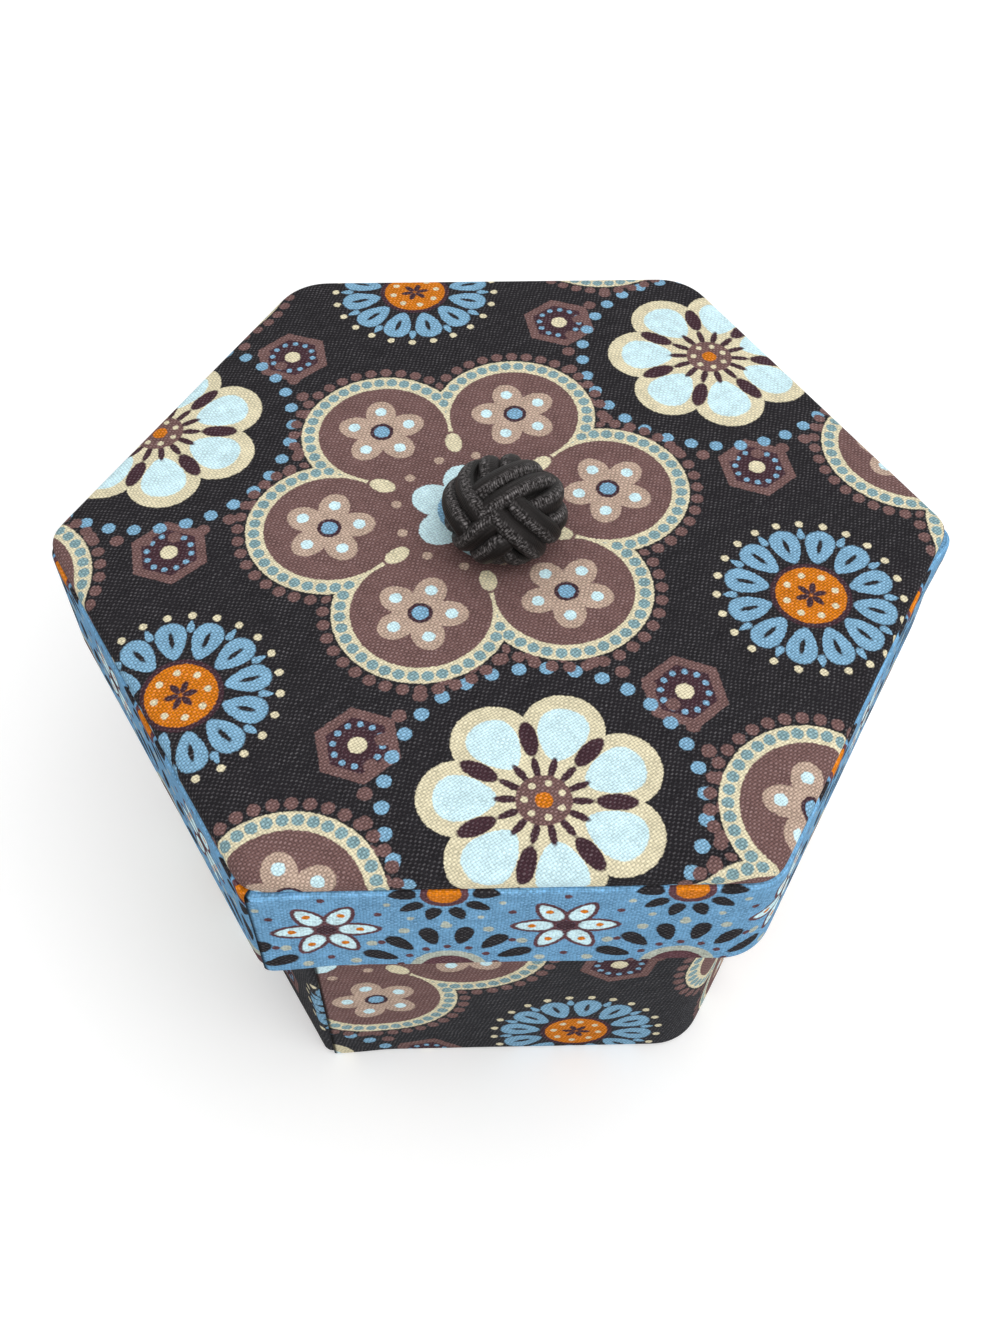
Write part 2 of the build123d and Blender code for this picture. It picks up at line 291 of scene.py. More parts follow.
def drawPeony(vector, colour, ink):
    # a cream blossom inside a double ring of beads
    colour = inked(vector, colour, ink, [
        ("Mauve", 34, 21.7, 0.95, 0.95, pi / 34), ("Blue", 34, 19.6, 0.95, 0.95)])
    cream = petals(vector, 7, 10.4, 5.2, 5.3).math("MAXIMUM", disc(vector, 10.6))
    colour = over(colour, ink["Cream"], cream)
    return inked(vector, colour, ink, [
        ("Pale", 7, 9.6, 3.9, 3.1, 0, -0.3), ("Maroon", 7, 8.9, 2.6, 1.15, pi / 7), ("Maroon", 14, 4.6, 1.6, 0.5),
        ("Mauve", 3.5), ("Cream", 7, 2.4, 0.45, 0.45), ("Orange", 1.1)])


def drawTile(vector, colour, ink):
    # a small six-sided tile that fills the ground
    for name, reach in (("Mauve", 5.0), ("Maroon", 3.7)):
        colour = over(colour, ink[name], useGroup(polygon, Vector=vector, Sides=6, Reach=reach))
    return inked(vector, colour, ink, [("Blue", 12, 3.1, 0.42, 0.42, radians(15)), ("Cream", 1.2)])


def drawStar(vector, colour, ink):
    # a white six-petalled star with mauve outlines
    return inked(vector, colour, ink, [
        ("Mauve", 6, 3.9, 3.0, 1.75, 0, 0.25), ("Pale", 6, 3.9, 2.3, 1.2, 0, 0.25), ("Orange", 6, 4.2, 0.5, 0.5),
        ("Mauve", 6, 7.6, 0.5, 0.5, radians(30)), ("Maroon", 1.2)])


def drawSeedFan(vector, colour, ink):
    # a flower of dark seeds with pale dots round it
    return inked(vector, colour, ink, [
        ("Cream", 14, 12.0, 0.7, 0.7, pi / 14), ("Ground", 14, 9.4, 2.4, 1.15, 0, -0.3),
        ("Mauve", 14, 6.2, 0.5, 0.5, pi / 14), ("Cream", 5.0), ("Mauve", 3.6)])


def drawSprig(vector, colour, ink):
    # a small dark flower with an orange eye, half of it past the fold
    return inked(vector, colour, ink, [
        ("Cream", 10, 7.3, 0.45, 0.45, radians(18)), ("Ground", 10, 5.0, 1.7, 0.95, 0, 0.3),
        ("Mauve", 2.9), ("Orange", 2.0)])


def makeMotif(name, draw):
    # a motif laid over what is under it, with its inks given
    tree, given, leave = makeGroup(
        name, {"Vector": "Vector", "Under": "Color", **dict.fromkeys(inks, "Color")}, {"Color": "Color"})
    plug(draw(given["Vector"], given["Under"], given), leave["Color"])
    return tree


motifs = {
    "collar": makeMotif("beaded collar", drawCollar),
    "rosette": makeMotif("orange-eyed rosette", drawRosette),
    "peony": makeMotif("cream peony", drawPeony),
    "tile": makeMotif("six-sided tile", drawTile),
    "star": makeMotif("white star", drawStar),
    "seeds": makeMotif("seed flower", drawSeedFan),
    "sprig": makeMotif("small dark sprig", drawSprig),
}


def makePrint(name, layout):
    # a whole repeating print: layout is rows of (motif, spacing, distance of the rows, place, turn)
    tree, given, leave = makeGroup(
        name, {"Vector": "Vector", **dict.fromkeys(inks, "Color")}, {"Color": "Color"})
    colour = given["Field"]
    for motif, spacing, rows, place, turn in layout:
        spot = vectorMath("SUBTRACT", given["Vector"], (*place, 0))
        spot = rotated(useGroup(staggered, Vector=spot, Spacing=spacing, Rows=rows), -turn)
        colour = useGroup(motifs[motif], Vector=spot, Under=colour, **{ink: given[ink] for ink in inks})
    plug(colour, leave["Color"])
    return tree


printGrid = {"spacing": 84.0, "band": (29.5, 36.0), "starRise": 11.5, "sprigRise": 20.0}
across, third, band = printGrid["spacing"], printGrid["spacing"] / sqrt(3), printGrid["band"]
darkPrint = makePrint("print on the dark ground", [
    ("tile", across / 2, across / 2 * sideShare, (0, 0), 0.0),
    ("peony", across, across * sideShare, (across / 2, third / 2), radians(13)),
    ("rosette", across, across * sideShare, (0, third), radians(4)),
    ("collar", across, across * sideShare, (0, 0), 0.0),
])
bluePrint = makePrint("print on the blue ground", [
    ("seeds", *band, (0, 0), 0.0),
    ("star", *band, (band[0] / 2, printGrid["starRise"]), 0.0),
    ("sprig", *band, (0, printGrid["sprigRise"]), 0.0),
])


# Cloth, cord and board effects

def makeWeave():
    tree, given, leave = makeGroup(
        "plain weave", {"Vector": "Vector", "Pitch": 0.4, "Turn": 0.0},
        {"Height": "Float", "Holes": "Float", "Thread": "Float"})
    wander = scaled(wanderAt(given["Vector"], 0.5), 0.5)
    x, y = split(rotated(vectorMath("ADD", given["Vector"], wander), given["Turn"]))
    x, y = x / given["Pitch"], y / (given["Pitch"] * 0.93)
    warp, weft = (x * pi).math("SINE").math("ABSOLUTE"), (y * pi).math("SINE").math("ABSOLUTE")
    check = (x.math("FLOOR") + y.math("FLOOR")).math("MODULO", 2).math("ABSOLUTE")
    warpUp = warp * (weft * 0.45 + 0.55) * check * 0.3
    weftUp = weft * (warp * 0.45 + 0.55) * check.flipped()
    plug(warpUp + weftUp, leave["Height"])
    hole = (warp * warp + weft * weft).part(0.85, 0.15)
    plug(hole, leave["Holes"])
    # each thread has a tone of its own, which changes slowly along it
    lines = noiseAt(join(x.math("FLOOR") * 0.37, y * 0.11), 1.0, 1.0)
    cross = noiseAt(join(x * 0.11, y.math("FLOOR") * 0.41), 1.0, 1.0)
    plug(lines * check + cross * check.flipped(), leave["Thread"])
    return tree


def makeBraid():
    # a braided cord: x runs along it and y once round it, outwards at 0.25; a row of stitches stands out at 0.15
    tree, given, leave = makeGroup(
        "round braid", {"Vector": "Vector", "Pick": 0.4, "Plaits": 6, "Slant": 1.2},
        {"Height": "Float", "Groove": "Float", "Outside": "Float", "Stitched": "Float"})
    x, y = split(given["Vector"])
    column = (y * given["Plaits"] + 0.25).math("PINGPONG", 0.5)
    pick = ((x / given["Pick"] + column * given["Slant"]) * pi).math("SINE").math("ABSOLUTE")
    edge = (column * 2 * pi).math("SINE").math("POWER", 0.5)
    stitched = (y - 0.15).math("ABSOLUTE").part(0.11, 0.04)
    plaited = pick.math("POWER", 0.6) * (edge * 0.5 + 0.5) * (stitched * 0.7 + 0.3)
    plug(plaited + stitched.flipped() * 0.4, leave["Height"])
    # Groove and Outside give the masks for the cord's painted shade: in the grooves, and away from the outer face
    plug((pick * edge).part(0.55, 0.05) * (stitched * 0.8 + 0.2), leave["Groove"])
    plug((y * 2 * pi).math("SINE").part(0.15, 0.95), leave["Outside"])
    plug(stitched, leave["Stitched"])
    return tree


plainWeave, roundBraid = makeWeave(), makeBraid()


def newMaterial(name, roughness, sheen=0.0):
    material = bpy.data.materials.new(name)
    material.use_nodes = True
    tree = material.node_tree
    shader = tree.nodes["Principled BSDF"]
    shader.inputs["Roughness"].default_value = roughness
    shader.inputs["Specular IOR Level"].default_value = 0.1
    shader.inputs["Sheen Weight"].default_value = sheen
    shader.inputs["Sheen Roughness"].default_value = 0.5
    return material, tree, shader


def clothVector(tree):
    return made(tree, "UVMap", uv_map="cloth")


def objectVector(tree):
    return made(tree, "TexCoord", output="Object")


def addBump(shader, height, distance):
    inputs = {"Strength": 1.0, "Distance": distance * mm, "Height": height}
    plug(made(height.tree, "Bump", inputs.items()), shader.inputs["Normal"])


darkInks = {
    "Field": (0.0180, 0.0172, 0.0200, 1), "Ground": (0.0180, 0.0172, 0.0200, 1), "Mauve": (0.180, 0.100, 0.094, 1),
    "Maroon": (0.058, 0.026, 0.035, 1), "Tan": (0.510, 0.375, 0.295, 1), "Cream": (0.740, 0.670, 0.465, 1),
    "Blue": (0.215, 0.420, 0.600, 1), "Pale": (0.640, 0.870, 0.930, 1), "Orange": (0.650, 0.190, 0.006, 1),
    "Teal": (0.230, 0.370, 0.400, 1),
}
# painted light: the walls get a lighter ground than the top, though it is the same cloth
wallInks = dict(darkInks, Field=(0.027, 0.028, 0.032, 1), Ground=(0.027, 0.028, 0.032, 1))
blueInks = dict(darkInks, Field=(0.155, 0.355, 0.575, 1), Mauve=(0.110, 0.045, 0.055, 1),
                Cream=(0.460, 0.500, 0.430, 1))

# What all the cloths share: noise scales per millimetre, and how strong each effect is
clothLook = {"bleedScale": 2.2, "bleed": 0.34, "fadedScale": 0.09, "faded": 0.12, "speckScale": 2.4,
             "lintScale": 1.3, "lint": 0.4, "clogged": 0.8, "tone": 1.04, "middle": 0.36, "seamShade": 0.9,
             "wearAndHighlightScale": 0.5, "wearAndHighlight": 0.45}


def printedCloth(name, group, inkSet, look):
    material, tree, shader = newMaterial(name, 0.9)
    flat = clothVector(tree)
    place = turned(flat, look["place"], look["turn"])
    bleed = scaled(wanderAt(flat, clothLook["bleedScale"]), clothLook["bleed"])
    colour = useGroup(group, Vector=vectorMath("ADD", place, bleed), **inkSet)
    finishCloth(shader, colour, flat, look)
    return material


def finishCloth(shader, colour, flat, look):
    height, holes, thread = groupOutputs(plainWeave, Vector=flat, Pitch=look["pitch"], Turn=look["threads"])
    faded = noiseAt(flat, clothLook["fadedScale"], 3.0)
    grey = made(flat.tree, "RGBToBW", ((0, colour),))
    clogged = grey.math("POWER", 2) * -clothLook["clogged"] + 1  # pale ink fills the weave
    speck = noiseAt(flat, clothLook["speckScale"], 1.0).part(0.35, 0.65)
    # pale fibre flecks on the raised threads: the fibres' own colour and painted highlight
    fleck = (thread.part(0.4, 0.8) + speck) * height.part(0.35, 0.8) * look["fleck"]
    lint = noiseAt(flat, clothLook["lintScale"], 5.0, 0.75).part(0.72, 0.78)
    colour = over(colour, look["fibre"], fleck.math("MAXIMUM", lint * clothLook["lint"]))
    colour = over(colour, look["under"], holes * clogged * look["holes"])
    bright = thread.part(0.3, 0.7) * look["slub"] + (clothLook["tone"] - look["slub"] / 2)
    bright = bright + (faded - 0.5) * clothLook["faded"]
    # painted shade from the weave's height: low threads darker, raised ones lighter; then a random mottle
    bright = bright + (height - clothLook["middle"]) * clogged * look["shade"] + (speck - 0.5) * look["mottle"]
    if look.get("seam"):  # the lap's folded edge sits in its own shadow
        x, _ = split(flat)
        bright = bright * (x.part(look["seam"], look["seam"] / 2) * -clothLook["seamShade"] + 1)
    if look.get("fold"):  # painted highlight and wear: paler along the fold at the top
        _, y = split(flat)
        wearAndHighlight = noiseAt(flat, clothLook["wearAndHighlightScale"], 3.0).part(0.25, 0.65)
        wearAndHighlight = (y - look["fold"]).math("ABSOLUTE").part(0.5, 0.1) * wearAndHighlight
        bright = bright * (wearAndHighlight * clothLook["wearAndHighlight"] + 1)
    plug(scaled(colour, bright), shader.inputs["Base Color"])
    plug(height * -0.12 + 0.96, shader.inputs["Roughness"])
    addBump(shader, height, look["relief"])


topLook = {"place": (-4.0, 3.5), "turn": radians(10), "pitch": 0.41, "threads": radians(-34),
           "holes": 0.36, "under": (0.045, 0.032, 0.036, 1), "fibre": (0.300, 0.290, 0.300, 1), "fleck": 0.11,
           "slub": 0.30, "shade": 0.85, "mottle": 0.14, "relief": 0.12}
wallLook = dict(topLook, place=(27.9, -40.4), turn=radians(-12), threads=radians(-31), seam=0.7)
rimLook = dict(topLook, place=(-5.75, 45.5), turn=0.0, threads=radians(3), holes=0.2, shade=0.34, slub=0.40,
               mottle=0.3, seam=0.7, fold=65.6)
liningLook = {"pitch": 0.5, "threads": 0.0, "holes": 0.5, "under": (0.20, 0.15, 0.09, 1),
              "fibre": (0.85, 0.78, 0.62, 1), "dark": (0.560, 0.450, 0.310, 1), "pale": (0.640, 0.540, 0.400, 1),
              "tintScale": 0.06, "fleck": 0.13, "slub": 0.26, "shade": 0.4, "mottle": 0.1, "relief": 0.12}

topCloth = printedCloth("printed cotton of the top", darkPrint, darkInks, topLook)
wallCloth = printedCloth("printed cotton of the walls", darkPrint, wallInks, wallLook)
rimCloth = printedCloth("blue printed cotton of the rim", bluePrint, blueInks, rimLook)


def makeLiningCloth():
    material, tree, shader = newMaterial("plain cotton lining", 0.92, 0.1)
    flat = clothVector(tree)
    tint = noiseAt(flat, liningLook["tintScale"], 3.0)
    finishCloth(shader, over(liningLook["dark"], liningLook["pale"], tint), flat, liningLook)
    return material


cordLook = {"pick": 0.31, "plaits": 6, "slant": 1.2, "girth": 7.7, "deep": (0.003, 0.0025, 0.002, 1),
            "dark": (0.0065, 0.0052, 0.0048, 1), "soft": (0.018, 0.0145, 0.014, 1), "pale": (0.380, 0.352, 0.352, 1),
            "relief": 0.10, "shine": 0.12}


def makeCordMaterial():
    material, tree, shader = newMaterial("braided cord", 0.5, 0.03)
    x, y = split(clothVector(tree))
    around = join(x, y * cordLook["girth"])  # both in millimetres
    wander = noiseAt(around, 0.7) - 0.5
    height, groove, outside, stitched = groupOutputs(
        roundBraid, Vector=join(x + wander * 0.5, y + wander * 0.05),
        Pick=cordLook["pick"], Plaits=cordLook["plaits"], Slant=cordLook["slant"])
    thread = noiseAt(join(x * 0.35, y * 30), 1.0, 3.0)  # fibres along the cord
    strand = noiseAt(around, 2.6, 3.0)
    colour = over(cordLook["dark"], cordLook["soft"], thread.part(0.35, 0.75))
    # pale stitches, lightest on the raised picks: paler thread and painted highlight
    colour = over(colour, cordLook["pale"], height * stitched * strand.part(0.40, 0.78))
    # painted shade: darkest in the braid's grooves and round the cord's sides and underside, away from its outer face
    colour = over(colour, cordLook["deep"], (groove * 0.75).math("MAXIMUM", outside.flipped() * 0.9))
    shader.inputs["Specular IOR Level"].default_value = cordLook["shine"]
    plug(colour, shader.inputs["Base Color"])
    plug(stitched * 0.25 + 0.42, shader.inputs["Roughness"])
    addBump(shader, height, cordLook["relief"])
    return material


def makeFibreMaterial(name, dark, pale, scale, relief, fleck=None):
    # pressed fibres: board and paper
    material, tree, shader = newMaterial(name, 0.9)
    place = objectVector(tree)
    fibres = noiseAt(place, scale, 6.0, 0.7)
    blotch = noiseAt(place, scale / 12, 2.0)
    colour = over(dark, pale, (fibres * 0.7 + blotch * 0.3).part(0.3, 0.7))
    if fleck:
        colour = over(colour, fleck, noiseAt(place, scale * 2.2, 1.0).part(0.70, 0.76))
    plug(colour, shader.inputs["Base Color"])
    addBump(shader, fibres, relief)
    return material


liningCloth, cordMaterial = makeLiningCloth(), makeCordMaterial()
boardMaterial = makeFibreMaterial("greyboard", (0.36, 0.33, 0.28, 1), (0.48, 0.45, 0.40, 1), 900, 0.06,
                                  (0.20, 0.18, 0.16, 1))
tapeMaterial = makeFibreMaterial("gummed paper", (0.42, 0.29, 0.17, 1), (0.52, 0.38, 0.24, 1), 1400, 0.03)
print("materials made")


# Outlines, the same as the boards' own, in millimetres

lidCorner = 63.5
panelInset = 0.25  # the top panel stands this far inside the rim's face
wallSide = 48.4926  # from the middle to the walls' flat side, inside the lined rim and its slack
lidShape = {"corner": lidCorner, "bends": [3.5, 8.0, 8.0, 3.5, 3.0, 8.0]}
panelShape = {"corner": lidCorner - panelInset / sideShare, "bends": [3.0, 8.5, 8.5, 4.5, 4.0, 4.5]}
wallShape = {"corner": wallSide / sideShare, "bends": [8.0, 8.0, 8.0, 8.0, 1.5, 8.0]}
tightest = {"crease": 0.3, "pad": 0.8}  # the sharpest bends of a board and of a lined card
seamCorner = 4  # the corner at the front left, counted from the one on +X


def outline(shape, inset, sector, run):
    # run goes 0 to 1 round half a bend, 1 to 2 along the flat side and 2 to 3 round half of the next bend
    reach = shape["corner"] - inset / sideShare
    first = radians(60 * sector)
    if 1 < run < 2:
        start, facing = outline(shape, inset, sector, 1)
        return start.lerp(outline(shape, inset, sector, 2)[0], run - 1), facing
    corner = first if run <= 1 else first + radians(60)
    bend = max(shape["bends"][(sector + (run >= 2)) % 6] - inset, tightest["crease"])
    facing = first + radians(30) * (run if run <= 1 else run - 1)
    centre = reach - bend / sideShare
    return Vector((centre * cos(corner) + bend * cos(facing), centre * sin(corner) + bend * sin(facing), 0)), facing


def insetShape(shape, inset):
    return {"corner": shape["corner"] - inset / sideShare,
            "bends": [max(bend - inset, tightest["pad"]) for bend in shape["bends"]]}


def walk(shape, inset, stations):  # each place with its point and how far round it lies
    travelled, last = 0.0, None
    for sector, run in stations:
        point, _ = outline(shape, inset, sector, run)
        travelled += (point - last).length if last is not None else 0
        last = point
        yield sector, run, point, travelled


spread = {"sides": 24, "least": 0.02, "sideCurl": 0.0035, "bendCurl": 0.14}


def stationsOf(start=(0, 0.0), overlap=None):
    # places round the outline, from start once round, and on to the overlap where it isn't closed
    quarters = [0, 0.25, 0.5, 0.75]
    runs = quarters + [1 + step / spread["sides"] for step in range(spread["sides"])]
    runs += [2 + quarter for quarter in quarters]
    sector, run = start
    found = [(sector, run)]
    if overlap is not None:  # closer together where the folded edge curls
        curl = spread["sideCurl"] if run > 1 else spread["bendCurl"]
        found += [(sector, run + curl * step) for step in (1, 2, 3)]
    found += [(sector, r) for r in runs if r > found[-1][1] + spread["least"]]
    found += [(sector + lap, r) for lap in range(1, 6) for r in runs]
    last = run if overlap is None else overlap
    found += [(sector + 6, r) for r in runs if r < last - spread["least"]]
    return found if overlap is None else found + [(sector + 6, overlap)]


def buildObject(name, points, faces, flats, material, body, replaced, slotName):
    mesh = bpy.data.meshes.new(name)
    mesh.from_pydata([point * mm for point in points], [], faces)
    layer = mesh.uv_layers.new(name="cloth")
    for loop in mesh.loops:
        layer.data[loop.index].uv = flats[loop.vertex_index][:2]
    for face in mesh.polygons:
        face.use_smooth = True
    mesh.materials.append(material)
    piece = bpy.data.objects.new(name, mesh)
    scene.collection.objects.link(piece)
    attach(piece, body)
    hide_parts(*replaced)
    return piece


def addModifier(piece, kind, **values):
    modifier = piece.modifiers.new(kind.lower(), kind)
    for key, value in values.items():
        setattr(modifier, key, value)


def smooth(piece):
    addModifier(piece, "SUBSURF", levels=1, render_levels=1)


def thicken(piece, thickness):
    addModifier(piece, "SOLIDIFY", thickness=thickness * mm, offset=-1)
    smooth(piece)


def roundedCorner(inset, height, radius, first, last, steps=4):
    # an arc of the profile round (inset, height); angles from outwards (0) to up (90)
    angles = [radians(first + (last - first) * step / steps) for step in range(steps + 1)]
    return [(inset - radius * cos(angle), height + radius * sin(angle)) for angle in angles]


# Glued cloth wraps

fold = {"lift": 0.55, "lap": 7.0, "curl": 0.15, "pressed": 0.1, "crestShare": 0.3, "thickness": 0.35,
        "round": 0.8, "turn": 0.7}


def coverFace(look):
    # round the top edge, down the face and round the lower edge
    head, foot = look["top"] - look["topRound"], look["bottom"] + fold["round"]
    return (roundedCorner(look["topRound"], head, look["topRound"], 90, 0)
            + [(0, head + (foot - head) * step / look["rows"]) for step in range(1, look["rows"])]
            + roundedCorner(fold["round"], foot, fold["round"], 0, -90))


def turnIn(look, height, first, last):  # the bend at which the cloth goes up or down inside
    return roundedCorner(look["back"] - fold["turn"], height, fold["turn"], first, last)


def wrapCloth(name, shape, profile, look, *dress):
    # a strip of cloth round the outline, its folded end lapped over the other end
    stations = stationsOf(look["start"], look["overlap"])
    lengths = [0.0]
    for before, after in zip(profile, profile[1:]):
        lengths.append(lengths[-1] + hypot(after[0] - before[0], after[1] - before[1]))
    face = next(place for place, (inset, _) in enumerate(profile) if inset < 0.001)
    base = profile[face][1] + lengths[face]
    points, flats = [], []
    for sector, run, outer, travelled in walk(shape, 0, stations):
        lift = fold["lift"] * max(0.0, 1 - travelled / fold["lap"]) ** 0.5
        lift -= fold["curl"] * exp(-(travelled / fold["curl"]) ** 2)
        for row, (inset, height) in enumerate(profile):
            spot = outer.normalized() * 3 + Vector((0, 0, height * 0.05)) + look["seed"]
            swell = look["swell"] * (0.5 + 0.5 * noise.noise(spot))
            for x, y, reach, push in look["bunched"]:  # cloth gathered at a corner's top
                away = hypot(outer.x - x, outer.y - y)
                swell += push * exp(-(away / reach) ** 2) * min(1.0, max(0.0, (height - 55) / 8)) * (inset < 1)
            facing = 1 if inset < look["middle"] else -1
            raised = lift if facing > 0 else lift * fold["pressed"]  # flat under the lining
            point, _ = outline(shape, inset - facing * (raised + swell), sector, run)
            wave = look["slack"] * noise.noise(Vector((travelled * 0.07, look["seed"].x, height * 0.03)))
            height += wave * max(0.0, (56 - height) / 10)  # the rim's free edge isn't quite straight
            if height > look["crest"]:  # the walls' fold lies over their top edge as well, the rim's never
                height += max(0.0, lift) * fold["crestShare"]
            points.append(point + Vector((0, 0, height)))
            flats.append((travelled, base - lengths[row]))
    rows = len(profile)
    faces = [(place * rows + row, place * rows + row + 1, (place + 1) * rows + row + 1, (place + 1) * rows + row)
             for place in range(len(stations) - 1) for row in range(rows - 1)]
    thicken(buildObject(name, points, faces, flats, *dress), fold["thickness"])


rimWrap = {"top": 65.8, "topRound": 0.6, "bottom": 46.0, "back": 3.4, "rows": 14, "crest": 99, "swell": 0.12,
           "slack": 0.9, "middle": 2.0, "seed": Vector((3.1, 0.7, 5.2)), "start": (seamCorner, 0.10),
           "overlap": 1.12, "bunched": [(62.9, 0, 3.5, 0.9), (31.3, -54.2, 3.0, 0.5)]}
rimProfile = [(inset, rimWrap["top"]) for inset in (12, 8, 4, 2)] + coverFace(rimWrap)
rimProfile += [(rimWrap["back"] / 2, rimWrap["bottom"])]
rimProfile += turnIn(rimWrap, rimWrap["bottom"] + fold["turn"], -90, -180)
rimProfile += [(rimWrap["back"], height) for height in (48, 50, 52, 54)]
wrapCloth("rimWrap", lidShape, rimProfile, rimWrap, rimCloth, "lid", ["rim_cover"], "blue_print")

wallWrap = {"top": 62.1, "topRound": 0.8, "bottom": 0.35, "back": 2.9, "rows": 34, "crest": 62, "swell": 0.10,
            "slack": 0.0, "middle": 1.5, "seed": Vector((9.4, 2.2, 1.3)), "start": (seamCorner, 1.004),
            "overlap": 1.14, "bunched": []}
wallProfile = [(wallWrap["back"], height) for height in (48.1, 52, 56, 60)]
wallProfile += turnIn(wallWrap, wallWrap["top"] - fold["turn"], 180, 90) + coverFace(wallWrap)
wallProfile += [(inset, wallWrap["bottom"]) for inset in (4, 8, 12)]
wrapCloth("wallWrap", wallShape, wallProfile, wallWrap, wallCloth, "box", ["wall_cover"], "dark_print")
print("wraps made")


# Padded pieces

def evenStations(shape, perSide):
    found = []
    for sector in range(6):
        lengths = [shape["bends"][sector] * pi / 6, 0, shape["bends"][(sector + 1) % 6] * pi / 6]
        lengths[1] = (outline(shape, 0, sector, 2)[0] - outline(shape, 0, sector, 1)[0]).length
        for step in range(perSide):
            travel, run = sum(lengths) * step / perSide, 0
            while run < 2 and travel > lengths[run]:
                travel -= lengths[run]
                run += 1
            found.append((sector, run + travel / lengths[run]))
    return found


def padRings(shape, stations, perSide, inset, heightAt, points, flats):
    # rings of points from the middle outwards, up to but without the outermost
    starts = []
    for ring in range(perSide):
        starts.append(len(points))
        share = ring / perSide
        for step in range(max(1, 6 * ring)):
            place = step * perSide / max(1, ring)
            here, rest = int(place), place - int(place)
            first = outline(shape, inset, *stations[here % len(stations)])[0]
            after = outline(shape, inset, *stations[(here + 1) % len(stations)])[0]
            point = first.lerp(after, rest) * share
            points.append(point + Vector((0, 0, heightAt(share, point))))
            flats.append((point.x, point.y))
    return starts


def reversedFaces(faces):
    return [tuple(reversed(face)) for face in faces]


def ringFaces(starts):
    faces = []
    for ring in range(1, len(starts)):
        for sector in range(6):
            for step in range(ring):
                outer = starts[ring] + sector * ring + step
                outerNext = starts[ring] + (sector * ring + step + 1) % (6 * ring)
                around = max(1, 6 * (ring - 1))
                inner = starts[ring - 1] + (sector * (ring - 1) + step) % around
                faces.append((outer, outerNext, inner))
                if step < ring - 1:
                    faces.append((outerNext, starts[ring - 1] + (sector * (ring - 1) + step + 1) % around, inner))
    return faces


def padMesh(name, shape, perSide, edge, heightAt, *dress, facesDown=False):
    # a top of rings, the edge's rows, and an underside of rings that closes it
    points, flats, stations, total = [], [], evenStations(shape, perSide), 6 * perSide
    starts = padRings(shape, stations, perSide, edge[0][0], heightAt, points, flats)
    travelled, rows = 0.0, []
    for place, (inset, height) in enumerate(edge):
        travelled += hypot(inset - edge[place - 1][0], height - edge[place - 1][1]) if place else 0
        rows.append(len(points))
        for sector, run in stations:
            point, _ = outline(shape, inset, sector, run)
            flat, _ = outline(shape, edge[0][0] - travelled, sector, run)
            level = heightAt(1.0, point) if place == 0 else height
            points.append(point + Vector((0, 0, level)))
            flats.append((flat.x, flat.y))
    faces = ringFaces(starts + [rows[0]])
    for upper, lower in zip(rows, rows[1:]):
        faces += [(upper + step, lower + step, lower + (step + 1) % total, upper + (step + 1) % total)
                  for step in range(total)]
    under = padRings(shape, stations, perSide, edge[-1][0], lambda share, point: edge[-1][1], points, flats)
    faces += reversedFaces(ringFaces(under + [rows[-1]]))
    if facesDown:
        faces = reversedFaces(faces)
    return buildObject(name, points, faces, flats, *dress), rows[0]


def padEdge(pad, ends):  # the free rows round the top edge, then the rows held down at the card
    bend = pad["round"]
    return (roundedCorner(bend, pad["crest"] - bend, bend, 90, 0, pad["freeRows"])
            + [(inset, pad["foot"] + rise) for inset, rise in ends])


stretch = {"quality": 5, "mass": 0.15, "stiff": 8.0, "bending": 0.5, "pressure": 0.6}


def puff(piece, held, look):
    # cloth filled with wadding: the free vertices swell, each by no more than the cap
    rest = [vertex.co.copy() for vertex in piece.data.vertices]
    group = piece.vertex_groups.new(name="sewn")
    group.add(held, 1.0, "REPLACE")
    cloth = piece.modifiers.new("puff", "CLOTH")
    settings = cloth.settings
    settings.quality = stretch["quality"]
    settings.mass = stretch["mass"]
    settings.tension_stiffness = settings.compression_stiffness = stretch["stiff"]
    settings.bending_stiffness = stretch["bending"]
    settings.use_pressure = True
    settings.uniform_pressure_force = stretch["pressure"]
    settings.vertex_group_mass = "sewn"
    settings.effector_weights.gravity = 0
    for step in range(1, look["frames"] + 1):
        scene.frame_set(step)
    shaped = piece.evaluated_get(bpy.context.evaluated_depsgraph_get())
    moved = [vertex.co.copy() for vertex in shaped.data.vertices]
    piece.modifiers.remove(cloth)
    piece.vertex_groups.remove(group)
    scene.frame_set(1)
    most = 0.0
    for vertex, before, after in zip(piece.data.vertices, rest, moved):
        step = after - before
        most = max(most, step.length)
        if step.length > look["cap"] * mm:
            step *= look["cap"] * mm / step.length
        vertex.co = before + step
    print(piece.name, "swelled by up to", round(most / mm, 2), "mm before the cap")


cordHole = (0.9, -1.2)  # where the cord goes through the lid
topPad = {"rings": 44, "crest": 68.45, "crown": 0.75, "round": 1.3, "foot": 65.8, "dimple": 0.9, "dimpleReach": 11.0,
          "tied": 3.5, "freeRows": 5, "cap": 0.6, "frames": 16}


def topHeight(share, point):
    away = hypot(point.x - cordHole[0], point.y - cordHole[1])
    pull = topPad["dimple"] * exp(-(away / topPad["dimpleReach"]) ** 2 * 2)
    ripple = 0.10 * noise.noise(point * 0.09) + 0.05 * noise.noise(point * 0.3)
    return topPad["crest"] + topPad["crown"] * (1 - share ** 2) - pull + ripple * min(1, (1 - share) * 6)


